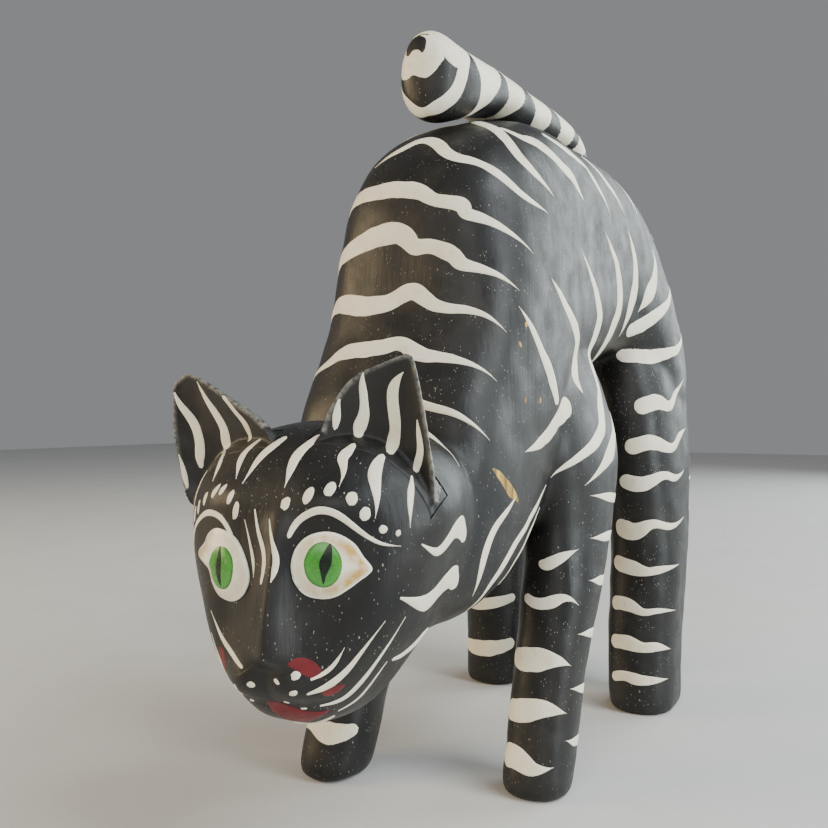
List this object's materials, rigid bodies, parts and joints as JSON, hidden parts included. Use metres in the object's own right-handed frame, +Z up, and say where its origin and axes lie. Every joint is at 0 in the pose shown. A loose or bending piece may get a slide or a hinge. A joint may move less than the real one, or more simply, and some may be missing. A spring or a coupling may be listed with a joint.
{
  "type": "alebrije cat figure",
  "caption": "Carved, painted wooden cat with an arched back, lowered head, pegged legs and plug-in tail and ears; it stands on its feet.",
  "frame": {"origin": "on the ground under the middle of the figure's bounding box", "axes": "+Z up; the cat faces -Y; its left side is +X"},
  "size_m": [0.0955, 0.2572, 0.2375],
  "materials": {
    "black_paint": "satin black acrylic paint over carved copal wood, lightly worn",
    "white_paint": "hand-brushed cream white paint, slightly raised, semi-matte",
    "eye_white": "glossy cream paint with a green iris and a black slit pupil",
    "red_paint": "dark red brushed paint, satin",
    "bare_wood": "unpainted pale softwood, sanded"
  },
  "bodies": {
    "body": {"torso": "black_paint", "neck": "black_paint", "head": "black_paint", "front_left_leg": "black_paint", "front_right_leg": "black_paint", "hind_left_leg": "black_paint", "hind_right_leg": "black_paint", "left_eye": "eye_white", "right_eye": "eye_white", "leg_pegs": "bare_wood", "neck_pegs": "bare_wood", "head_pegs": "bare_wood"},
    "tail_plug": {"tail": "black_paint", "tail_peg": "bare_wood"},
    "left_ear_plug": {"left_ear": "black_paint", "left_ear_peg": "bare_wood"},
    "right_ear_plug": {"right_ear": "black_paint", "right_ear_peg": "bare_wood"}
  },
  "joints": [
    {"name": "tail_pull", "type": "slide", "parent": "body", "child": "tail_plug", "axis": [0, 0, 1], "range_m": [0, 0.04]},
    {"name": "left_ear_pull", "type": "slide", "parent": "body", "child": "left_ear_plug", "axis": [0.484, 0.1761, 0.8572], "range_m": [0, 0.03]},
    {"name": "right_ear_pull", "type": "slide", "parent": "body", "child": "right_ear_plug", "axis": [-0.5138, 0.0359, 0.8572], "range_m": [0, 0.03]}
  ]
}
